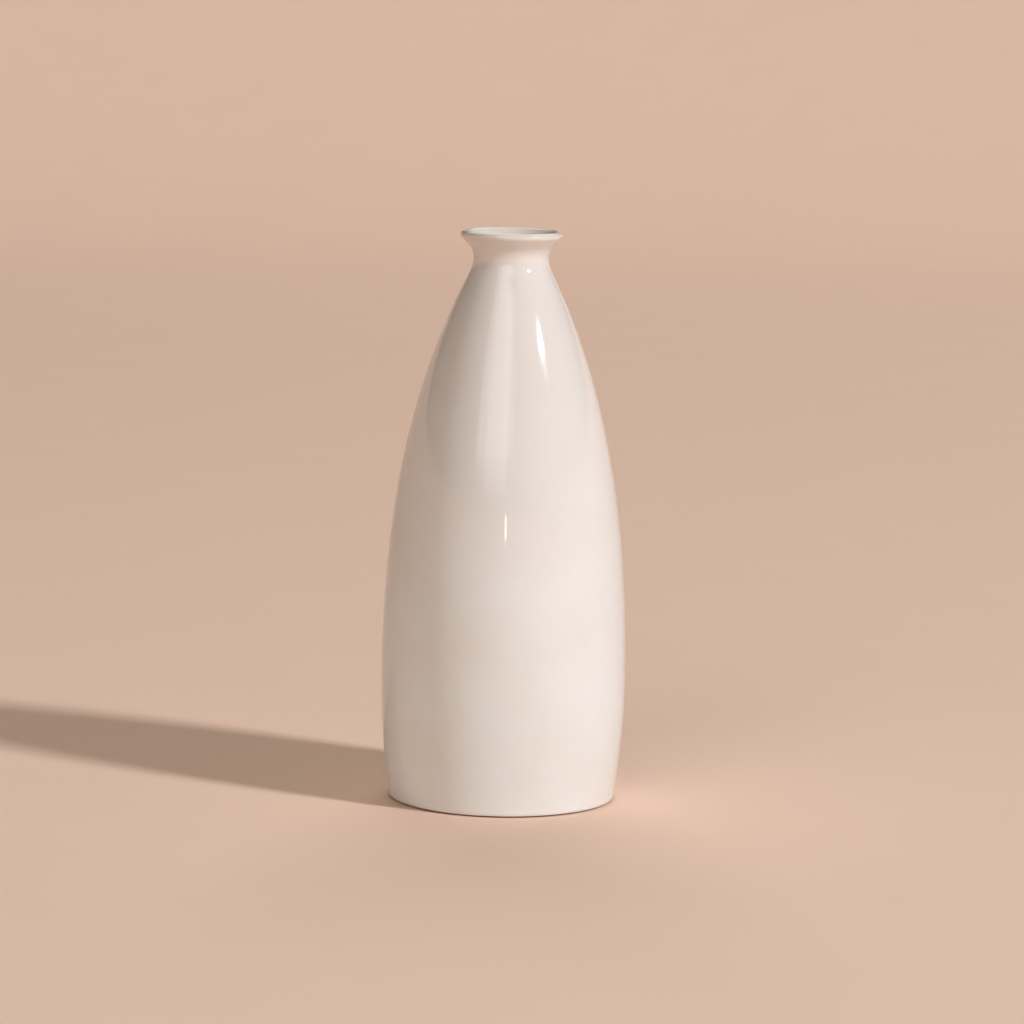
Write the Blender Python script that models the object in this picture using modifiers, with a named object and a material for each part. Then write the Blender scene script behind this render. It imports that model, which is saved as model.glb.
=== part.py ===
"""Ceramic bud vase: a slip-cast clay body with its glaze coats, turned about +Z.

Units are metres. The origin is the centre of the foot, on the surface that the vase stands on.
The two sides of the wall are drawn once, as the glazed surfaces OUTSIDE and INSIDE, and every
coat and the clay between them is a parallel layer of those two lines.
"""

import math

import bpy

MM = 0.001

# Overall form, measured on the glazed outside
HEIGHT = 200.0 * MM
LIP_RADIUS = 17.75 * MM
LIP_ROLL = 1.4 * MM  # radius of the rounded rim, so the rim is twice this thick
FLARE_ANGLE = math.radians(45.0)  # slope of the mouth, from upright
NECK_RADIUS = 13.1 * MM
NECK_HEIGHT = 191.0 * MM
NECK_FILLET = 11.0 * MM  # hollow curve under the narrowest point
SHOULDER_ANGLE = math.radians(27.0)  # slope of the shoulder where it meets the neck
SHOULDER_PULL = 46.5 * MM
BELLY_RADIUS = 43.0 * MM
BELLY_HEIGHT = 43.5 * MM
BELLY_PULL_UP = 53.0 * MM
BELLY_PULL_DOWN = 16.0 * MM
FOOT_RADIUS = 40.0 * MM
FOOT_HEIGHT = 1.6 * MM  # where the side starts to turn under
FOOT_ANGLE = math.radians(7.0)
FOOT_PULL = 16.0 * MM
FOOT_CURL = 2.2 * MM
GLAZE_LINE = 0.6 * MM  # the glaze is wiped off below this height

# Wall, floor and foot ring
WALL_BODY = 4.2 * MM
WALL_THINNING_FROM = 150.0 * MM  # the wall thins from this height to the rim
FLOOR_HEIGHT = 7.2 * MM  # glazed floor inside
FLOOR_FILLET = 9.0 * MM  # least height of the round corner between the wall and the floor
FILLET_PULL = 0.6  # how far the corner's curve is pulled along both, as a share of its height
FOOT_RING_INNER = 34.0 * MM
RECESS_HEIGHT = 2.4 * MM
RECESS_RISE = 2.0 * MM  # pull of the recess curve, straight up from the ring
RECESS_FLAT = 24.0 * MM  # and level, out from the axis
UNDERSIDE_GLAZE_LINE = 1.3 * MM

# Coats
GLAZE = 0.4 * MM
GAP = 0.3 * MM  # kept open between the clay and each coat
COAT = GLAZE + GAP

TURN_STEPS = 36
WELD = 0.01 * MM


def arc(centre, radius, start, end, count):
    """Points on an arc of the section, between two angles in degrees from +X."""
    points = []
    for step in range(count + 1):
        angle = math.radians(start + (end - start) * step / count)
        points.append((centre[0] + radius * math.cos(angle), centre[1] + radius * math.sin(angle)))
    return points


def sweep(start, start_pull, end_pull, end, count):
    """Points on the smooth curve that leaves start and reaches end along the two pull vectors."""
    first = (start[0] + start_pull[0], start[1] + start_pull[1])
    second = (end[0] + end_pull[0], end[1] + end_pull[1])
    points = []
    for step in range(count + 1):
        t = step / count
        u = 1.0 - t
        weights = (u * u * u, 3.0 * u * u * t, 3.0 * u * t * t, t * t * t)
        corners = (start, first, second, end)
        points.append(tuple(sum(w * c[axis] for w, c in zip(weights, corners)) for axis in (0, 1)))
    return points


def toward(start, end, distance):
    """The point at this distance from start on the way to end."""
    share = distance / math.dist(start, end)
    return tuple(a + (b - a) * share for a, b in zip(start, end))


def chain(*stretches):
    """One line from stretches that each start where the last one ended."""
    line = list(stretches[0])
    for stretch in stretches[1:]:
        line.extend(stretch[1:])
    return line


def beside(line, depths):
    """The line moved to the right of its own travel, by one depth or by a depth for each point."""
    if not isinstance(depths, list):
        depths = [depths] * len(line)
    moved = []
    last = len(line) - 1
    for index, (r, z) in enumerate(line):
        before = line[max(index - 1, 0)]
        after = line[min(index + 1, last)]
        dr = after[0] - before[0]
        dz = after[1] - before[1]
        length = math.hypot(dr, dz)
        moved.append((r + dz / length * depths[index], z - dr / length * depths[index]))
    return moved


def outside_line():
    """Glazed outside, from just inside the mouth, over the rim, and down to the glaze line."""
    slope = math.degrees(FLARE_ANGLE)
    rim = (LIP_RADIUS - LIP_ROLL, HEIGHT - LIP_ROLL)
    lip = arc(rim, LIP_ROLL, 180.0 - slope, -slope, count=8)

    # The radius that lets the straight flare run smoothly into both the rim and the neck
    reach = (rim[0] - NECK_RADIUS) * math.cos(FLARE_ANGLE) - (rim[1] - NECK_HEIGHT) * math.sin(FLARE_ANGLE)
    flare_fillet = (LIP_ROLL + reach) / (math.cos(FLARE_ANGLE) - 1.0)
    upper_centre = (NECK_RADIUS + flare_fillet, NECK_HEIGHT)
    upper_neck = arc(upper_centre, flare_fillet, 180.0 - slope, 180.0, count=4)
    lower_centre = (NECK_RADIUS + NECK_FILLET, NECK_HEIGHT)
    lower_neck = arc(lower_centre, NECK_FILLET, 180.0, 180.0 + math.degrees(SHOULDER_ANGLE), count=3)

    shoulder = lower_neck[-1]
    shoulder_pull = (SHOULDER_PULL * math.sin(SHOULDER_ANGLE), -SHOULDER_PULL * math.cos(SHOULDER_ANGLE))
    belly = (BELLY_RADIUS, BELLY_HEIGHT)
    upper_body = sweep(shoulder, shoulder_pull, (0.0, BELLY_PULL_UP), belly, count=9)
    foot = (FOOT_RADIUS, FOOT_HEIGHT)
    foot_pull = (FOOT_PULL * math.sin(FOOT_ANGLE), FOOT_PULL * math.cos(FOOT_ANGLE))
    lower_body = sweep(belly, (0.0, -BELLY_PULL_DOWN), foot_pull, foot, count=4)

    curl_centre = (
        FOOT_RADIUS - FOOT_CURL * math.cos(FOOT_ANGLE),
        FOOT_HEIGHT + FOOT_CURL * math.sin(FOOT_ANGLE),
    )
    curl_end = -math.degrees(math.asin((curl_centre[1] - GLAZE_LINE) / FOOT_CURL))
    curl = arc(curl_centre, FOOT_CURL, -math.degrees(FOOT_ANGLE), curl_end, count=2)
    return chain(lip, [lip[-1], *upper_neck], lower_neck, upper_body, lower_body, curl), len(lip) - 1


def inside_line(outside, rim_steps):
    """Glazed inside, from the mouth down the wall and across the floor to the axis."""
    wall = outside[rim_steps:]
    rim_wall = 2.0 * LIP_ROLL
    span = HEIGHT - WALL_THINNING_FROM
    depths = [rim_wall + (WALL_BODY - rim_wall) * min((HEIGHT - z) / span, 1.0) for _, z in wall]
    depths[0] = rim_wall
    side = [point for point in beside(wall, depths) if point[1] > FLOOR_HEIGHT + FLOOR_FILLET]
    drop = side[-1][1] - FLOOR_HEIGHT
    reach = drop * FILLET_PULL
    fall = math.dist(side[-2], side[-1])
    side_pull = tuple((b - a) / fall * reach for a, b in zip(side[-2], side[-1]))
    floor_edge = (side[-1][0] - drop, FLOOR_HEIGHT)
    corner = sweep(side[-1], side_pull, (reach, 0.0), floor_edge, count=4)
    return chain(side, corner, [floor_edge, (floor_edge[0] / 2.0, FLOOR_HEIGHT), (0.0, FLOOR_HEIGHT)])


def recess_line():
    """Clay roof of the shallow recess, from the inner edge of the foot ring to the axis."""
    ring_edge = (FOOT_RING_INNER, 0.0)
    centre = (0.0, RECESS_HEIGHT)
    return sweep(ring_edge, (0.0, RECESS_RISE), (RECESS_FLAT, 0.0), centre, count=7)


def material(name, colour, roughness):
    """A Principled material of one plain colour."""
    made = bpy.data.materials.new(name)
    made.use_nodes = True
    shader = made.node_tree.nodes["Principled BSDF"]
    shader.inputs["Base Color"].default_value = (*colour, 1.0)
    shader.inputs["Roughness"].default_value = roughness
    shader.inputs["Metallic"].default_value = 0.0
    return made


def turned(collection, name, section, finish, ring=True):
    """A solid turned from a section; a ring's section is a loop, any other starts and ends on the axis."""
    count = len(section)
    edges = [(index, index + 1) for index in range(count - 1)]
    if ring:
        edges.append((count - 1, 0))
    mesh = bpy.data.meshes.new(name)
    mesh.from_pydata([(r, 0.0, z) for r, z in section], edges, [])
    piece = bpy.data.objects.new(name, mesh)
    collection.objects.link(piece)
    piece.data.materials.append(finish)
    turn = piece.modifiers.new("Turn", "SCREW")
    turn.axis = "Z"
    turn.angle = 2.0 * math.pi
    turn.steps = TURN_STEPS
    turn.render_steps = TURN_STEPS
    turn.use_merge_vertices = True
    turn.merge_threshold = WELD
    turn.use_normal_calculate = True
    turn.use_smooth_shade = True
    return piece


def build_clay_body(collection, outside, inside, recess):
    """The fired body: wall, rounded rim, floor, bare foot ring and the recess inside it."""
    inner = beside(inside, -COAT)
    outer = beside(outside, COAT)
    tail = (outer[-1][0] - outer[-2][0], outer[-1][1] - outer[-2][1])
    foot_edge = (outer[-1][0] - tail[0] / tail[1] * outer[-1][1], 0.0)
    section = chain(list(reversed(inner)), outer) + [foot_edge, *recess]
    clay = material("bisque_clay", (0.62, 0.50, 0.40), 0.8)
    return turned(collection, "clay_body", section, clay, ring=False)


def build_outer_glaze(collection, outside):
    """The outer coat, from just inside the mouth to the wiped line above the foot."""
    section = outside + list(reversed(beside(outside, GLAZE)))
    glaze = material("ivory_glaze", (0.78, 0.72, 0.66), 0.12)
    return turned(collection, "outer_glaze", section, glaze)


def build_inner_glaze(collection, inside):
    """The poured lining, from just inside the mouth to the floor."""
    under = beside(inside, -GLAZE)
    face = [toward(inside[0], inside[1], GAP), *inside[1:]]
    back = [toward(under[0], under[1], GAP), *under[1:]]
    section = list(reversed(face)) + back
    glaze = material("lining_glaze", (0.74, 0.68, 0.61), 0.15)
    return turned(collection, "inner_glaze", section, glaze, ring=False)


def build_underside_glaze(collection, recess):
    """The coat on the recess roof, inside the foot ring."""
    roof = [point for point in recess if point[1] > UNDERSIDE_GLAZE_LINE]
    section = list(reversed(beside(roof, -GAP))) + beside(roof, -COAT)
    glaze = material("underside_glaze", (0.76, 0.70, 0.63), 0.15)
    return turned(collection, "underside_glaze", section, glaze, ring=False)


def main():
    for old in list(bpy.data.objects):
        bpy.data.objects.remove(old, do_unlink=True)
    collection = bpy.data.collections.new("ceramic_bud_vase")
    bpy.context.scene.collection.children.link(collection)
    outside, rim_steps = outside_line()
    inside = inside_line(outside, rim_steps)
    recess = recess_line()
    build_clay_body(collection, outside, inside, recess)
    build_outer_glaze(collection, outside)
    build_inner_glaze(collection, inside)
    build_underside_glaze(collection, recess)


main()
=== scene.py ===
"""A glazed ceramic bud vase on a pale studio floor.

The vase is four pieces turned about +Z, which fit each other as they do on the real thing: the
fired clay body, the glaze over its outside, the glaze lining inside it, and the glaze in the
shallow recess under its foot. Every line of the section is in metres, as (radius, height).
"""

import math
from collections import namedtuple

import bpy
from bpy.props import FloatProperty, FloatVectorProperty, PointerProperty
from mathutils import Matrix, Vector


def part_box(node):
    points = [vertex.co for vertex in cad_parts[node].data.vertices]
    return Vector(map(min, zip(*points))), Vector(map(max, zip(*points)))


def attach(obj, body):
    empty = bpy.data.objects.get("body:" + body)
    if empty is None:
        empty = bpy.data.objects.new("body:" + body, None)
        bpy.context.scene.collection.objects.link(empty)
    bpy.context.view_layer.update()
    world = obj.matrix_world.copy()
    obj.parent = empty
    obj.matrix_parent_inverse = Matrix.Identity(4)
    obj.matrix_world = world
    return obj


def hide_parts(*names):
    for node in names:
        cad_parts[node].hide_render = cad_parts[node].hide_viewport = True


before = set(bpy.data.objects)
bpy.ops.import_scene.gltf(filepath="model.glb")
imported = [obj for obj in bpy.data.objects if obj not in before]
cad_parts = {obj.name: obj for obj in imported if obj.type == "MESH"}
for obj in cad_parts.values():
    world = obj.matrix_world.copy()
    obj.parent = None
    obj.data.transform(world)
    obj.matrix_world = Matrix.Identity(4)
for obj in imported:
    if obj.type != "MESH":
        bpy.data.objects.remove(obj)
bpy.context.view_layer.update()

bl_info = {
    "name": "Ceramic Bud Vase",
    "version": (1, 0, 0),
    "blender": (4, 5, 0),
    "location": "3D View > Sidebar > Bud Vase",
    "description": "Turns a glazed ceramic bud vase and sets up the studio that it stands in",
    "category": "Object",
}

MM = 0.001
BODY = "root"

OUTER_LOW, OUTER_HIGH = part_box("outer_glaze")
LINING_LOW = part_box("inner_glaze")[0]
COAT = 0.4  # thickness of every glaze coat, in millimetres

TURN_STEPS = 40  # corners round a turned cage, before it is rounded off
ROUNDING_LEVELS = 2
WELD = 0.002 * MM  # points nearer to each other than this become one
SEED_SIZE = 1.0 * MM  # the plane that is merged into a section's first point
SKIN = 0.01 * MM  # kept open between the clay and its glaze, so that the two faces never flicker
CORNER_PULL = 0.6  # share of the way to its corner that each side of a rounded corner aims along
FLOOR_RINGS = 4  # rings across the glazed floor inside
CAST_PATTERN = "cast_unevenness"
CAST_SPAN = 55.0 * MM  # from one swelling of the cast wall to the next

# Subdivision draws a turned ring in by this share, so every radius is set out larger by it
DRAWN_IN = 1.0 / (1.0 - (1.0 - math.cos(2.0 * math.pi / TURN_STEPS)) / 3.0)


# ---------------------------------------------------------------- properties


def linear(code):
    """The linear colour of an sRGB hex code, by the curve of the sRGB standard."""
    shares = [int(code[start:start + 2], 16) / 255.0 for start in (1, 3, 5)]
    return tuple(s / 12.92 if s <= 0.04045 else ((s + 0.055) / 1.055) ** 2.4 for s in shares)


def size(name, millimetres, description):
    """A length property whose default is given in millimetres."""
    return FloatProperty(
        name=name,
        description=description,
        default=millimetres * MM,
        min=0.0,
        precision=5,
        unit="LENGTH",
    )


def angle(name, degrees, description):
    """An angle property whose default is given in degrees."""
    return FloatProperty(
        name=name, description=description, default=math.radians(degrees), subtype="ANGLE"
    )


def colour(name, code, description):
    """A colour property whose default is an sRGB hex code."""
    return FloatVectorProperty(
        name=name, description=description, default=linear(code), min=0.0, max=1.0, subtype="COLOR"
    )


def share(name, amount, description):
    """A property from 0 to 1."""
    return FloatProperty(
        name=name, description=description, default=amount, min=0.0, max=1.0, subtype="FACTOR"
    )


class BudVaseForm(bpy.types.PropertyGroup):
    height: size("Height", OUTER_HIGH.z / MM, "Foot to rim")
    lip_radius: size("Lip radius", 17.75, "Outer edge of the rolled lip")
    lip_roll: size("Lip roll", 1.4, "Radius of the rounded rim")
    flare_angle: angle("Flare", 45.0, "Slope of the mouth, from upright")
    neck_radius: size("Neck radius", 13.1, "Narrowest outside radius")
    neck_height: size("Neck height", 191.0, "Height of the narrowest point")
    neck_fillet: size("Neck fillet", 11.0, "Hollow curve under the narrowest point")
    shoulder_angle: angle("Shoulder angle", 27.0, "Slope of the shoulder where it meets the neck")
    shoulder_pull: size("Shoulder pull", 46.5, "How far the shoulder keeps that slope")
    belly_radius: size("Belly radius", OUTER_HIGH.x / MM, "Widest outside radius")
    belly_height: size("Belly height", 43.5, "Height of the widest point")
    belly_pull_up: size("Belly pull up", 53.0, "How far the belly stays upright above its widest point")
    belly_pull_down: size("Belly pull down", 16.0, "How far the belly stays upright below it")
    foot_radius: size("Foot radius", 40.0, "Outside radius where the side turns under")
    foot_height: size("Foot height", 1.6, "Height where the side turns under")
    foot_angle: angle("Foot angle", 7.0, "Slope of the side above the foot")
    foot_pull: size("Foot pull", 16.0, "How far the side keeps that slope")
    foot_curl: size("Foot curl", 2.2, "Radius of the turned-under edge")
    glaze_line: size("Glaze line", OUTER_LOW.z / MM, "The glaze is wiped off below this height")
    glaze: size("Glaze", COAT, "Thickness of every glaze coat")
    wall: size("Wall", 4.2, "Clay and both coats, in the body")
    thinning_from: size("Thinning from", 150.0, "Height from which the wall thins to the rim")
    floor_height: size("Floor height", LINING_LOW.z / MM + COAT, "Glazed floor inside")
    floor_fillet: size("Floor fillet", 9.0, "Round corner between the wall and the floor inside")
    heel_trim: size("Heel trim", 1.8, "How far the bare heel is trimmed in under the glaze")
    ring_inner: size("Foot ring", 34.0, "Inner radius of the bare foot ring")
    ring_edge: size("Ring edge", 0.45, "Rounding of the foot ring's edges by the wet sponge")
    recess_height: size("Recess height", 2.4, "Clay roof of the recess at its centre")
    recess_rise: size("Recess rise", 2.0, "How steeply the recess leaves the foot ring")
    recess_flat: size("Recess flat", 24.0, "How far the recess stays level from its centre")
    recess_line: size("Recess glaze line", 1.3, "The roof of the recess is glazed above this height")
    unevenness: size("Unevenness", 0.24, "How far the cast wall wanders from true")


class BudVaseFinish(bpy.types.PropertyGroup):
    # Painted light and shade: the foot colour is lighter and cooler to offset the floor's warm bounce,
    # and the neck colour is darker and warmer as painted shade on the upper body
    glaze: colour("Glaze", "#E9ECEB", "Ivory glaze by the foot, where it lies thickest")
    shaded_neck_glaze: colour("Glaze by the neck", "#E5E0DB", "Where it ran thinner and the clay warms it")
    glaze_pooled: colour("Pooled glaze", "#E3DDD4", "Where the glaze ran together and lies thicker")
    glaze_thin: colour("Thin glaze", "#E4D9CE", "On the rim, where it drew off the edge")
    # Painted light: the lining is drawn warm, in place of the warm light bounced and reflected round
    # the inside of the mouth
    lining: colour("Lining", "#F0DEC9", "Glaze poured into the inside")
    speck: colour("Iron specks", "#8F7660", "Specks of iron in the clay, seen through the glaze")
    # Partly painted shade: the buff clay is drawn darker than its own tone, so that the bare heel reads
    # as the dark contact shadow under the foot
    clay: colour("Clay", "#B3967B", "Fired clay, bare")
    clay_grit: colour("Clay grit", "#84694F", "Darker grains in the fired clay")
    speck_share: share("Specks", 0.18, "How strongly the specks show")
    gloss: share("Glaze roughness", 0.062, "Roughness of the fired glaze")


class BudVaseStudio(bpy.types.PropertyGroup):
    floor: colour("Floor", "#F5D3BC", "Pale painted floor and cove")
    air: colour("Room light", "#FFEAD8", "Soft light from all round")
    air_strength: FloatProperty(
        name="Room strength", description="Strength of that light", default=0.05, min=0.0
    )
    softbox_strength: FloatProperty(
        name="Softboxes", description="Scales every softbox", default=1.0, min=0.0
    )
    camera_side: size("Camera side", 2.04, "Camera to the right of the vase's axis")
    camera_distance: size("Camera distance", 1505.2, "Camera in front of the vase's axis")
    camera_height: size("Camera height", 307.65, "Camera above the floor")
    camera_tilt: angle("Camera tilt", 7.808, "Camera turned down from level")
    camera_roll: angle("Camera roll", 1.101, "Camera rolled about its own axis")
    lens: FloatProperty(
        name="Lens", description="Focal length", default=152.18, min=1.0, subtype="DISTANCE_CAMERA"
    )


# ---------------------------------------------------------------- lines of the section


def arc(centre, radius, start, end, count):
    """Points on an arc of the section, between two angles in degrees from +X."""
    points = []
    for step in range(count + 1):
        turn = math.radians(start + (end - start) * step / count)
        points.append((centre[0] + radius * math.cos(turn), centre[1] + radius * math.sin(turn)))
    return points


def sweep(start, start_pull, end_pull, end, count):
    """Points on the smooth curve that leaves start and reaches end along the two pull vectors."""
    first = (start[0] + start_pull[0], start[1] + start_pull[1])
    second = (end[0] + end_pull[0], end[1] + end_pull[1])
    points = []
    for step in range(count + 1):
        t = step / count
        u = 1.0 - t
        weights = (u * u * u, 3.0 * u * u * t, 3.0 * u * t * t, t * t * t)
        corners = (start, first, second, end)
        points.append(tuple(sum(w * c[axis] for w, c in zip(weights, corners)) for axis in (0, 1)))
    return points


def toward(start, end, distance):
    """The point at this distance from start on the way to end."""
    part = distance / math.dist(start, end)
    return tuple(a + (b - a) * part for a, b in zip(start, end))


def chain(*stretches):
    """One line from stretches that each start where the last one ended."""
    line = list(stretches[0])
    for stretch in stretches[1:]:
        line.extend(stretch[1:])
    return line


def beside(line, depths):
    """The line moved to the right of its own travel, by one depth or by a depth for each point."""
    if not isinstance(depths, list):
        depths = [depths] * len(line)
    moved = []
    last = len(line) - 1
    for index, (r, z) in enumerate(line):
        before = line[max(index - 1, 0)]
        after = line[min(index + 1, last)]
        reach_in = math.dist(before, (r, z)) or 1.0
        reach_out = math.dist((r, z), after) or 1.0
        # The nearer neighbour says more about the direction at the point
        dr = (r - before[0]) / reach_in * reach_out + (after[0] - r) / reach_out * reach_in
        dz = (z - before[1]) / reach_in * reach_out + (after[1] - z) / reach_out * reach_in
        length = math.hypot(dr, dz)
        moved.append((r + dz / length * depths[index], z - dr / length * depths[index]))
    return moved


def round_end(start, end, count=4):
    """Points round the end of a coat, from start to end, on a half circle that turns right."""
    centre = ((start[0] + end[0]) / 2.0, (start[1] + end[1]) / 2.0)
    arm = (start[0] - centre[0], start[1] - centre[1])
    points = []
    for step in range(1, count):
        turn = -math.pi * step / count
        r = centre[0] + arm[0] * math.cos(turn) - arm[1] * math.sin(turn)
        z = centre[1] + arm[0] * math.sin(turn) + arm[1] * math.cos(turn)
        points.append((r, z))
    return points


def soft_corner(before, corner, after, rounding):
    """The corner between two straight stretches, rounded."""
    start = toward(corner, before, rounding)
    end = toward(corner, after, rounding)
    start_pull = tuple((c - s) * CORNER_PULL for c, s in zip(corner, start))
    end_pull = tuple((c - e) * CORNER_PULL for c, e in zip(corner, end))
    return sweep(start, start_pull, end_pull, end, count=3)


def outside_line(form):
    """Glazed outside, from just inside the mouth, over the rim, and down to the glaze line.

    The line comes with the number of its steps that go round the rim.
    """
    slope = math.degrees(form.flare_angle)
    rim = (form.lip_radius - form.lip_roll, form.height - form.lip_roll)
    lip = arc(rim, form.lip_roll, 180.0 - slope, -slope, count=12)

    # The radius that lets the straight flare run smoothly into both the rim and the neck
    across = (rim[0] - form.neck_radius) * math.cos(form.flare_angle)
    down = (rim[1] - form.neck_height) * math.sin(form.flare_angle)
    flare_fillet = (form.lip_roll + across - down) / (math.cos(form.flare_angle) - 1.0)
    upper_centre = (form.neck_radius + flare_fillet, form.neck_height)
    upper_neck = arc(upper_centre, flare_fillet, 180.0 - slope, 180.0, count=5)
    lower_centre = (form.neck_radius + form.neck_fillet, form.neck_height)
    lower_end = 180.0 + math.degrees(form.shoulder_angle)
    lower_neck = arc(lower_centre, form.neck_fillet, 180.0, lower_end, count=5)
    middle = toward(lip[-1], upper_neck[0], math.dist(lip[-1], upper_neck[0]) / 2.0)
    flare = [lip[-1], middle, *upper_neck]

    shoulder = lower_neck[-1]
    pull = form.shoulder_pull
    shoulder_pull = (pull * math.sin(form.shoulder_angle), -pull * math.cos(form.shoulder_angle))
    belly = (form.belly_radius, form.belly_height)
    upper_body = sweep(shoulder, shoulder_pull, (0.0, form.belly_pull_up), belly, count=20)
    foot = (form.foot_radius, form.foot_height)
    pull = form.foot_pull
    foot_pull = (pull * math.sin(form.foot_angle), pull * math.cos(form.foot_angle))
    lower_body = sweep(belly, (0.0, -form.belly_pull_down), foot_pull, foot, count=7)

    curl_centre = (
        form.foot_radius - form.foot_curl * math.cos(form.foot_angle),
        form.foot_height + form.foot_curl * math.sin(form.foot_angle),
    )
    curl_end = -math.degrees(math.asin((curl_centre[1] - form.glaze_line) / form.foot_curl))
    curl = arc(curl_centre, form.foot_curl, -math.degrees(form.foot_angle), curl_end, count=4)
    near_foot = toward(foot, lower_body[-2], form.foot_curl / 2.0)
    lower_body.insert(-1, near_foot)
    return chain(lip, flare, lower_neck, upper_body, lower_body, curl), len(lip) - 1


def inside_line(form, outside, rim_steps):
    """Glazed inside, from the mouth down the wall and across the floor to the axis."""
    wall = outside[rim_steps:]
    rim_wall = 2.0 * form.lip_roll  # the rim is a full round, so its wall is two radii thick
    gain = form.wall - rim_wall
    span = form.height - form.thinning_from
    depths = [rim_wall + gain * min((form.height - z) / span, 1.0) for _, z in wall]
    depths[0] = rim_wall
    corner_height = form.floor_height + form.floor_fillet
    side = [point for point in beside(wall, depths) if point[1] > corner_height]
    drop = side[-1][1] - form.floor_height
    reach = drop * CORNER_PULL
    floor_edge = (side[-1][0] - drop, form.floor_height)
    side_end = toward(side[-2], side[-1], math.dist(side[-2], side[-1]) + reach)
    side_pull = (side_end[0] - side[-1][0], side_end[1] - side[-1][1])
    corner = sweep(side[-1], side_pull, (reach, 0.0), floor_edge, count=6)
    floor = []
    for ring in range(FLOOR_RINGS + 1):
        floor.append((floor_edge[0] * (1.0 - ring / FLOOR_RINGS), form.floor_height))
    return chain(side, corner, floor)


def recess_line(form):
    """Clay roof of the shallow recess, from the inner edge of the foot ring to the axis."""
    ring = (form.ring_inner, 0.0)
    centre = (0.0, form.recess_height)
    return sweep(ring, (0.0, form.recess_rise), (form.recess_flat, 0.0), centre, count=14)


# ---------------------------------------------------------------- turning


def turned(name, section):
    """A closed piece spun about Z, from a section that loops or has both ends on the axis."""
    bpy.ops.object.select_all(action="DESELECT")
    bpy.ops.mesh.primitive_plane_add(size=SEED_SIZE, location=(0.0, 0.0, 0.0))
    piece = bpy.context.object
    piece.name = name
    piece.data.name = name
    cage = [(r * DRAWN_IN, z) for r, z in section]
    bpy.ops.object.mode_set(mode="EDIT")
    bpy.ops.mesh.select_all(action="SELECT")
    bpy.ops.mesh.merge(type="CENTER")
    bpy.ops.transform.translate(value=(cage[0][0], 0.0, cage[0][1]))
    for (r, z), (next_r, next_z) in zip(cage, cage[1:]):
        step = (next_r - r, 0.0, next_z - z)
        bpy.ops.mesh.extrude_vertices_move(TRANSFORM_OT_translate={"value": step})
    bpy.ops.mesh.select_all(action="SELECT")
    bpy.ops.mesh.remove_doubles(threshold=WELD)
    bpy.ops.mesh.spin(
        steps=TURN_STEPS,
        angle=2.0 * math.pi,
        center=(0.0, 0.0, 0.0),
        axis=(0.0, 0.0, 1.0),
    )
    bpy.ops.mesh.select_all(action="SELECT")
    bpy.ops.mesh.remove_doubles(threshold=WELD)
    bpy.ops.mesh.normals_make_consistent(inside=False)
    bpy.ops.object.mode_set(mode="OBJECT")
    bpy.ops.object.shade_smooth()
    return piece


def apply_modifier(piece, modifier):
    """Makes the modifier part of the mesh."""
    bpy.context.view_layer.objects.active = piece
    bpy.ops.object.modifier_apply(modifier=modifier.name)


def round_off(piece):
    """Subdivides the turned cage into its smooth surface."""
    rounding = piece.modifiers.new("Rounding", "SUBSURF")
    rounding.levels = ROUNDING_LEVELS
    rounding.render_levels = ROUNDING_LEVELS
    apply_modifier(piece, rounding)


def wander(piece, form):
    """Moves the piece off true by a fraction of a millimetre, as a plaster mould leaves it.

    The move fades out below the widest point, so that the foot stays round and flat.
    """
    pattern = bpy.data.textures.get(CAST_PATTERN)
    if pattern is None:
        pattern = bpy.data.textures.new(CAST_PATTERN, "CLOUDS")
    pattern.cloud_type = "COLOR"
    pattern.noise_scale = CAST_SPAN
    pattern.noise_depth = 0
    above = piece.vertex_groups.new(name="above_the_foot")
    for vertex in piece.data.vertices:
        rise = min(max(vertex.co.z / form.belly_height, 0.0), 1.0)
        eased = rise * rise * (3.0 - 2.0 * rise)
        above.add([vertex.index], eased, "REPLACE")
    shift = piece.modifiers.new("Unevenness", "DISPLACE")
    shift.texture = pattern
    shift.texture_coords = "LOCAL"
    shift.direction = "RGB_TO_XYZ"
    shift.mid_level = 0.5
    shift.strength = form.unevenness
    shift.vertex_group = above.name
    apply_modifier(piece, shift)
    piece.vertex_groups.clear()


def finish_piece(piece, form, node, material):
    """Rounds a turned piece off, gives it its material, and lets it stand for its CAD node."""
    round_off(piece)
    wander(piece, form)
    piece.data.materials.clear()
    piece.data.materials.append(material)
    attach(piece, BODY)
    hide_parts(node)


# ---------------------------------------------------------------- materials

# Sizes of the patterns in the finishes, as they are on the real thing unless said otherwise
DRIFT_SPAN = 30.0 * MM  # broad drifts of tone, where the glaze ran thicker
CLOUD_SPAN = 6.0 * MM  # the finer cloudiness within them
CREST_FROM = 3.2 * MM  # below the top of the rim, where the glaze begins to draw thin
CREST_FULL = 0.6 * MM  # below the top of the rim, where it is thinnest
SPECK_SPACING = 7.2 * MM
SPECK_CORE = 0.022  # radius of a speck's dark middle, as a share of the spacing
SPECK_EDGE = 0.046  # radius at which a speck ends, as a share of the spacing
RIPPLE_SPAN = 14.0 * MM  # broad waves left in the molten glaze
RIPPLE_HEIGHT = 0.012 * MM
PEEL_SPAN = 2.6 * MM  # fine orange peel over them
PEEL_HEIGHT = 0.0022 * MM
SHEEN_SPAN = 18.0 * MM  # patches that fired a little duller or glossier
CLAY_DRIFT_SPAN = 12.0 * MM
GRIT_SPAN = 0.6 * MM  # the real grains are 0.1 to 0.3 mm; these are as coarse as they need to show
TOOTH_SPAN = 0.5 * MM  # the sandy surface, drawn as coarse as the grit
TOOTH_HEIGHT = 0.05 * MM
MOTTLE_SPAN = 60.0 * MM  # patches left by the paint roller
MOTTLE_SHADE = 0.9  # how light the darker patches are, as a share of the paint

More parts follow.
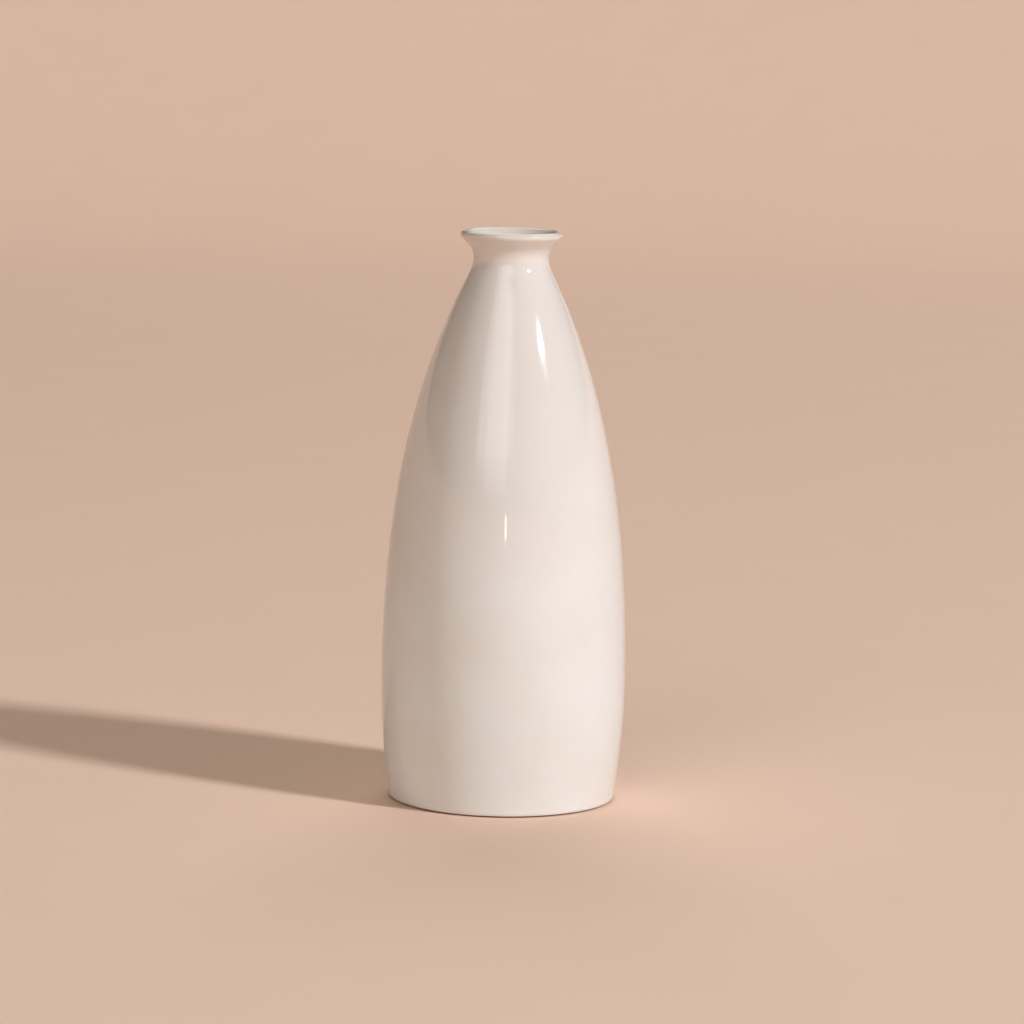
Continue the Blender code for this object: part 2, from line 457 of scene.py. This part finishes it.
GLAZE_IOR = 1.57
CLAY_IOR = 1.5
CLAY_ROUGHNESS = 0.88
PAINT_ROUGHNESS = 0.9


def socket(sockets, key):
    """The socket with this identifier or name."""
    for candidate in sockets:
        if candidate.identifier == key:
            return candidate
    return sockets[key]


def add_node(tree, kind, settings, links=()):
    """A node with its attributes and values set, and its inputs linked from other nodes."""
    node = tree.nodes.new(kind)
    for key, value in settings.items():
        if hasattr(node, key):
            setattr(node, key, value)
        else:
            socket(node.inputs, key).default_value = value
    for key, source, output in links:
        tree.links.new(socket(source.outputs, output), socket(node.inputs, key))
    return node


def new_material(name):
    """An empty material, its tree, its Principled shader and the piece's own coordinates."""
    material = bpy.data.materials.new(name)
    material.use_nodes = True
    tree = material.node_tree
    tree.nodes.clear()
    shader = add_node(tree, "ShaderNodeBsdfPrincipled", {})
    add_node(tree, "ShaderNodeOutputMaterial", {}, [("Surface", shader, "BSDF")])
    place = add_node(tree, "ShaderNodeTexCoord", {})
    return material, tree, shader, place


def noise(tree, place, span, detail=2.0):
    """A soft noise whose lumps are about this far apart."""
    settings = {"Scale": 1.0 / span, "Detail": detail, "Roughness": 0.5}
    return add_node(tree, "ShaderNodeTexNoise", settings, [("Vector", place, "Object")])


def spread(tree, source, output, low, high, to_low=0.0, to_high=1.0):
    """The source's value, eased from low..high to to_low..to_high."""
    settings = {
        "interpolation_type": "SMOOTHSTEP",
        "From Min": low,
        "From Max": high,
        "To Min": to_low,
        "To Max": to_high,
    }
    return add_node(tree, "ShaderNodeMapRange", settings, [("Value", source, output)])


def blend(tree, factor, first, second):
    """Mixes two colours by the factor's result. Each is a linear colour or a mix made before."""
    settings = {"data_type": "RGBA"}
    links = [("Factor_Float", factor, "Result")]
    for key, source in (("A_Color", first), ("B_Color", second)):
        if isinstance(source, bpy.types.Node):
            links.append((key, source, "Result_Color"))
        else:
            settings[key] = (*source, 1.0)
    return add_node(tree, "ShaderNodeMix", settings, links)


def bump(tree, height, output, distance, under=None):
    """A bump of this real height, over the one under it."""
    links = [("Height", height, output)]
    if under:
        links.append(("Normal", under, "Normal"))
    return add_node(tree, "ShaderNodeBump", {"Distance": distance, "Strength": 1.0}, links)


def glaze_material(name, form, finish, low_colour, high_colour, speck_share, roughness):
    """Opaque gloss glaze on earthenware, dipped and fired.

    To the eye it is a smooth glassy skin with sharp reflections, over a soft chalky white. Its colour
    is painted lighter and cooler by the foot, against the warm light bounced from the floor, and
    darker and warmer by the neck, as painted shade on the upper body. It is warmer on the rim, and
    drifts a little in tone between them. A few iron specks show through it, and the reflections
    ripple very slightly, because molten glaze never levels completely.
    """
    material, tree, shader, place = new_material(name)

    # Painted light and shade: lighter and cooler by the foot, against the floor's warm bounce,
    # and darker and warmer towards the neck, as painted shade on the upper body
    height = add_node(tree, "ShaderNodeSeparateXYZ", {}, [("Vector", place, "Object")])
    shade_towards_neck = spread(tree, height, "Z", form.foot_height, form.neck_height)
    tone = blend(tree, shade_towards_neck, low_colour, high_colour)

    # Broad drifts of tone, and a finer cloudiness within them
    broad = noise(tree, place, DRIFT_SPAN, detail=3.0)
    drift = spread(tree, broad, "Fac", low=0.35, high=0.7, to_high=0.4)
    fine = noise(tree, place, CLOUD_SPAN)
    cloud = spread(tree, fine, "Fac", low=0.4, high=0.75, to_high=0.1)
    tone = blend(tree, drift, tone, finish.glaze_pooled)
    tone = blend(tree, cloud, tone, finish.glaze_pooled)

    # The glaze draws thin on the rim and lets the clay's warmth through
    crest_from = form.height - CREST_FROM
    crest_full = form.height - CREST_FULL
    crest = spread(tree, height, "Z", crest_from, crest_full, to_high=0.65)
    tone = blend(tree, crest, tone, finish.glaze_thin)

    # Specks up to 0.6 mm across. One shows only where the surface cuts a cell's centre
    cell_scale = {"Scale": 1.0 / SPECK_SPACING}
    cells = add_node(tree, "ShaderNodeTexVoronoi", cell_scale, [("Vector", place, "Object")])
    specks = spread(tree, cells, "Distance", SPECK_CORE, SPECK_EDGE, speck_share, 0.0)
    tone = blend(tree, specks, tone, finish.speck)
    tree.links.new(socket(tone.outputs, "Result_Color"), shader.inputs["Base Color"])

    # Molten glaze levels out, but a ripple of some microns stays, broad and fine
    waves = noise(tree, place, RIPPLE_SPAN, detail=0.0)
    ripple = bump(tree, waves, "Fac", RIPPLE_HEIGHT)
    dimples = noise(tree, place, PEEL_SPAN, detail=1.0)
    peel = bump(tree, dimples, "Fac", PEEL_HEIGHT, ripple)
    tree.links.new(peel.outputs["Normal"], shader.inputs["Normal"])

    patches = noise(tree, place, SHEEN_SPAN)
    glossier = roughness * 0.85
    duller = roughness * 1.2
    sheen = spread(tree, patches, "Fac", low=0.3, high=0.7, to_low=glossier, to_high=duller)
    tree.links.new(sheen.outputs["Result"], shader.inputs["Roughness"])
    shader.inputs["IOR"].default_value = GLAZE_IOR
    return material


def clay_material(name, finish):
    """Bare earthenware, slip-cast and sponged, fired to biscuit.

    To the eye it is dry and matt, warm buff, with a fine grit of darker grains and a surface like
    fine sandpaper.
    """
    material, tree, shader, place = new_material(name)
    patches = noise(tree, place, CLAY_DRIFT_SPAN)
    drift = spread(tree, patches, "Fac", low=0.35, high=0.7, to_high=0.3)
    grit = noise(tree, place, GRIT_SPAN, detail=3.0)
    grains = spread(tree, grit, "Fac", low=0.52, high=0.72, to_high=0.7)
    # The clay colour is partly painted shade, for the contact shadow at the heel
    tone = blend(tree, drift, finish.clay, finish.clay_grit)
    tone = blend(tree, grains, tone, finish.clay_grit)
    tree.links.new(socket(tone.outputs, "Result_Color"), shader.inputs["Base Color"])
    tooth = bump(tree, noise(tree, place, TOOTH_SPAN, detail=3.0), "Fac", TOOTH_HEIGHT)
    tree.links.new(tooth.outputs["Normal"], shader.inputs["Normal"])
    shader.inputs["Roughness"].default_value = CLAY_ROUGHNESS
    shader.inputs["IOR"].default_value = CLAY_IOR
    return material


def paint_material(name, paint):
    """Matt emulsion on a studio cove: one soft pale colour, with a very faint roller mottle."""
    material, tree, shader, place = new_material(name)
    patches = noise(tree, place, MOTTLE_SPAN, detail=3.0)
    mottle = spread(tree, patches, "Fac", low=0.3, high=0.75, to_high=0.12)
    darker = tuple(channel * MOTTLE_SHADE for channel in paint)
    tone = blend(tree, mottle, paint, darker)
    tree.links.new(socket(tone.outputs, "Result_Color"), shader.inputs["Base Color"])
    shader.inputs["Roughness"].default_value = PAINT_ROUGHNESS
    return material


# ---------------------------------------------------------------- pieces

# The outer coat and the lining lap each other in the mouth. From the seam at the end of the rim,
# the outer coat runs on down for three steps and the lining starts one step down. They cross at
# two steps, a fiftieth of a millimetre deep, so they read as the one melted skin that they are.
LAP_STEP = 0.6 * MM
LAP_SHALLOW = 0.02 * MM
LAP_DEEP = 0.1 * MM

# The recess is brushed with thinned glaze, which shows more of the specks and fires duller
BRUSHED_SPECKS = 0.3
BRUSHED_DULLING = 1.5


def lap_points(inside):
    """The three points below the seam, a step apart down the flare of the mouth."""
    return [toward(inside[0], inside[1], steps * LAP_STEP) for steps in (1.0, 2.0, 3.0)]


class BUDVASE_OT_clay_body(bpy.types.Operator):
    """Turns the fired clay body: wall, rounded rim, floor, bare foot ring and recess"""

    bl_idname = "budvase.clay_body"
    bl_label = "Clay Body"

    def execute(self, context):
        form = context.scene.budvase_form
        outside, rim_steps = outside_line(form)
        inside = inside_line(form, outside, rim_steps)
        under_glaze = form.glaze + SKIN
        outer = beside(outside, under_glaze)
        inner = beside(inside, -under_glaze)
        recess = recess_line(form)

        # Below the glaze line the clay is trimmed in to the flat foot ring
        fall = ((outer[-1][0] - outer[-2][0]) / (outer[-1][1] - outer[-2][1])) * outer[-1][1]
        heel = (outer[-1][0] - fall - form.heel_trim, 0.0)
        ring = (form.ring_inner, 0.0)
        ring_third = (heel[0] - ring[0]) / 3.0
        section = [
            *reversed(inner),
            *outer[1:],
            *soft_corner(outer[-1], heel, ring, form.ring_edge),
            (heel[0] - ring_third, 0.0),
            (ring[0] + ring_third, 0.0),
            *soft_corner(heel, ring, recess[1], form.ring_edge),
            *recess[1:],
        ]
        piece = turned("fired_clay_body", section)
        clay = clay_material("bare_earthenware", context.scene.budvase_finish)
        finish_piece(piece, form, "clay_body", clay)
        return {"FINISHED"}


class BUDVASE_OT_outer_glaze(bpy.types.Operator):
    """Turns the glaze over the outside, from just inside the mouth to the line above the foot"""

    bl_idname = "budvase.outer_glaze"
    bl_label = "Outer Glaze"

    def execute(self, context):
        form = context.scene.budvase_form
        finish = context.scene.budvase_finish
        outside, rim_steps = outside_line(form)
        inside = inside_line(form, outside, rim_steps)
        first, second, third = lap_points(inside)
        face = [third, second, first, *outside]
        depths = [LAP_DEEP, LAP_SHALLOW] + [0.0] * (len(face) - 2)
        back = beside(face, form.glaze)
        face = beside(face, depths)
        back.reverse()
        foot_end = round_end(face[-1], back[0])
        mouth_end = round_end(back[-1], face[0])
        section = [*face, *foot_end, *back, *mouth_end, face[0]]
        piece = turned("outer_glaze_coat", section)
        # The outside runs from the foot colour up to the neck colour, which carries painted shade
        glaze = glaze_material(
            "gloss_ivory_glaze",
            form,
            finish,
            low_colour=finish.glaze,
            high_colour=finish.shaded_neck_glaze,
            speck_share=finish.speck_share,
            roughness=finish.gloss,
        )
        finish_piece(piece, form, "outer_glaze", glaze)
        return {"FINISHED"}


class BUDVASE_OT_lining_glaze(bpy.types.Operator):
    """Turns the glaze poured inside, from just inside the mouth to the floor"""

    bl_idname = "budvase.lining_glaze"
    bl_label = "Lining Glaze"

    def execute(self, context):
        form = context.scene.budvase_form
        finish = context.scene.budvase_finish
        outside, rim_steps = outside_line(form)
        inside = inside_line(form, outside, rim_steps)
        first, second, third = lap_points(inside)
        below = [point for point in inside if point[1] < third[1] - LAP_STEP / 2.0]
        line = [first, second, third, *below]
        depths = [-LAP_DEEP, -LAP_SHALLOW] + [0.0] * (len(line) - 2)
        back = beside(line, -form.glaze)
        face = beside(line, depths)
        face.reverse()
        section = [*face, *round_end(face[-1], back[0]), *back]
        piece = turned("lining_glaze_coat", section)
        # The lining colour carries painted warm bounce light
        glaze = glaze_material(
            "poured_lining_glaze",
            form,
            finish,
            low_colour=finish.lining,
            high_colour=finish.lining,
            speck_share=0.0,
            roughness=finish.gloss,
        )
        finish_piece(piece, form, "inner_glaze", glaze)
        return {"FINISHED"}


class BUDVASE_OT_recess_glaze(bpy.types.Operator):
    """Turns the glaze on the roof of the recess, inside the foot ring"""

    bl_idname = "budvase.recess_glaze"
    bl_label = "Recess Glaze"

    def execute(self, context):
        form = context.scene.budvase_form
        finish = context.scene.budvase_finish
        roof = [point for point in recess_line(form) if point[1] > form.recess_line]
        back = beside(roof, -SKIN)
        face = beside(roof, -SKIN - form.glaze)
        face.reverse()
        section = [*face, *round_end(face[-1], back[0]), *back]
        piece = turned("recess_glaze_coat", section)
        # The recess takes the neck colour, with its painted shade
        glaze = glaze_material(
            "brushed_underside_glaze",
            form,
            finish,
            low_colour=finish.shaded_neck_glaze,
            high_colour=finish.shaded_neck_glaze,
            speck_share=BRUSHED_SPECKS,
            roughness=finish.gloss * BRUSHED_DULLING,
        )
        finish_piece(piece, form, "underside_glaze", glaze)
        return {"FINISHED"}


# ---------------------------------------------------------------- studio

Softbox = namedtuple(
    "Softbox", "name azimuth elevation distance aim_height width height power tint"
)

# Azimuths are to the right of the camera and elevations above the horizon, both in degrees, as
# seen from the vase at the aim height. Lengths are in metres and powers in watts. The halo lies
# round the key and the window boxes lie over each other, so that their reflections end softly.
SOFTBOXES = (
    Softbox("key_softbox", 57.5, 31.5, 6.0, 0.163, 0.60, 0.27, 262.0, "#F6FAFF"),
    Softbox("key_halo", 57.8, 30.0, 6.0, 0.163, 0.60, 1.05, 3.5, "#F6FAFF"),
    Softbox("window_wide", -14.5, 32.0, 6.0, 0.150, 4.70, 3.30, 35.5, "#FCFBF8"),
    Softbox("window_middle", -17.0, 30.5, 6.0, 0.150, 3.90, 3.60, 33.0, "#FCFBF8"),
    Softbox("window_narrow", -13.0, 29.0, 6.0, 0.150, 2.60, 3.90, 24.5, "#FCFBF8"),
    Softbox("top_softbox", -20.0, 84.0, 6.0, 0.100, 4.00, 4.00, 12.0, "#FFEAD8"),
    Softbox("back_softbox", 178.0, 42.0, 6.0, 0.100, 4.00, 3.00, 95.0, "#FFFBF7"),
    Softbox("camera_strip", -0.2, 6.6, 1.60, 0.103, 0.045, 0.095, 0.13, "#FFFFFF"),
)

COVE_FLAT = 2.3  # radius of the level floor, in metres
COVE_BEND = 1.2  # radius of the bend that rises from it, in metres
COVE_TURN = 60.0  # degrees that the bend turns up


def add_softbox(box, strength):
    """A rectangular area light that faces the vase."""
    around = math.radians(box.azimuth)
    up = math.radians(box.elevation)
    level = math.cos(up)
    outward = Vector((math.sin(around) * level, -math.cos(around) * level, math.sin(up)))
    light = bpy.data.lights.new(box.name, "AREA")
    light.shape = "RECTANGLE"
    light.size = box.width
    light.size_y = box.height
    light.energy = box.power * strength
    light.color = linear(box.tint)
    lamp = bpy.data.objects.new(box.name, light)
    bpy.context.scene.collection.objects.link(lamp)
    lamp.location = Vector((0.0, 0.0, box.aim_height)) + outward * box.distance
    lamp.rotation_euler = outward.to_track_quat("Z", "Y").to_euler()


class BUDVASE_OT_stage(bpy.types.Operator):
    """Makes the pale floor and cove, the softboxes, the room light and the camera"""

    bl_idname = "budvase.stage"
    bl_label = "Studio"

    def execute(self, context):
        scene = context.scene
        studio = scene.budvase_studio
        flat = [(0.0, 0.0), (COVE_FLAT / 3.0, 0.0), (COVE_FLAT * 2.0 / 3.0, 0.0), (COVE_FLAT, 0.0)]
        bend = arc((COVE_FLAT, COVE_BEND), COVE_BEND, -90.0, COVE_TURN - 90.0, count=8)
        cove = turned("studio_cove", chain(flat, bend))
        round_off(cove)
        cove.data.materials.append(paint_material("pale_matt_paint", tuple(studio.floor)))

        world = bpy.data.worlds.new("studio_air")
        world.use_nodes = True
        scene.world = world
        background = world.node_tree.nodes["Background"]
        background.inputs["Color"].default_value = (*studio.air, 1.0)
        background.inputs["Strength"].default_value = studio.air_strength
        for box in SOFTBOXES:
            add_softbox(box, studio.softbox_strength)

        lens = bpy.data.cameras.new("studio_camera")
        lens.lens = studio.lens
        camera = bpy.data.objects.new("studio_camera", lens)
        scene.collection.objects.link(camera)
        level = math.pi / 2.0
        camera.matrix_world = (
            Matrix.Translation((studio.camera_side, -studio.camera_distance, studio.camera_height))
            @ Matrix.Rotation(level - studio.camera_tilt, 4, "X")
            @ Matrix.Rotation(studio.camera_roll, 4, "Z")
        )
        scene.camera = camera
        scene.view_settings.view_transform = "Standard"
        return {"FINISHED"}


# ---------------------------------------------------------------- panel and registration


class BUDVASE_PT_panel(bpy.types.Panel):
    """The steps that make the vase, and the sizes and colours that they read"""

    bl_idname = "BUDVASE_PT_panel"
    bl_label = "Bud Vase"
    bl_space_type = "VIEW_3D"
    bl_region_type = "UI"
    bl_category = "Bud Vase"

    def draw(self, context):
        layout = self.layout
        for step in STEPS:
            layout.operator(step.bl_idname)
        for heading, settings in (
            ("Form", context.scene.budvase_form),
            ("Finish", context.scene.budvase_finish),
            ("Studio", context.scene.budvase_studio),
        ):
            box = layout.box()
            box.label(text=heading)
            for key in settings.bl_rna.properties.keys():
                if key not in {"rna_type", "name"}:
                    box.prop(settings, key)


STEPS = (
    BUDVASE_OT_clay_body,
    BUDVASE_OT_outer_glaze,
    BUDVASE_OT_lining_glaze,
    BUDVASE_OT_recess_glaze,
    BUDVASE_OT_stage,
)
CLASSES = (BudVaseForm, BudVaseFinish, BudVaseStudio, *STEPS, BUDVASE_PT_panel)


def register():
    for made in CLASSES:
        bpy.utils.register_class(made)
    bpy.types.Scene.budvase_form = PointerProperty(type=BudVaseForm)
    bpy.types.Scene.budvase_finish = PointerProperty(type=BudVaseFinish)
    bpy.types.Scene.budvase_studio = PointerProperty(type=BudVaseStudio)


def unregister():
    del bpy.types.Scene.budvase_studio
    del bpy.types.Scene.budvase_finish
    del bpy.types.Scene.budvase_form
    for made in reversed(CLASSES):
        bpy.utils.unregister_class(made)


def main():
    register()
    bpy.ops.budvase.clay_body()
    bpy.ops.budvase.outer_glaze()
    bpy.ops.budvase.lining_glaze()
    bpy.ops.budvase.recess_glaze()
    bpy.ops.budvase.stage()


if __name__ == "__main__":
    main()
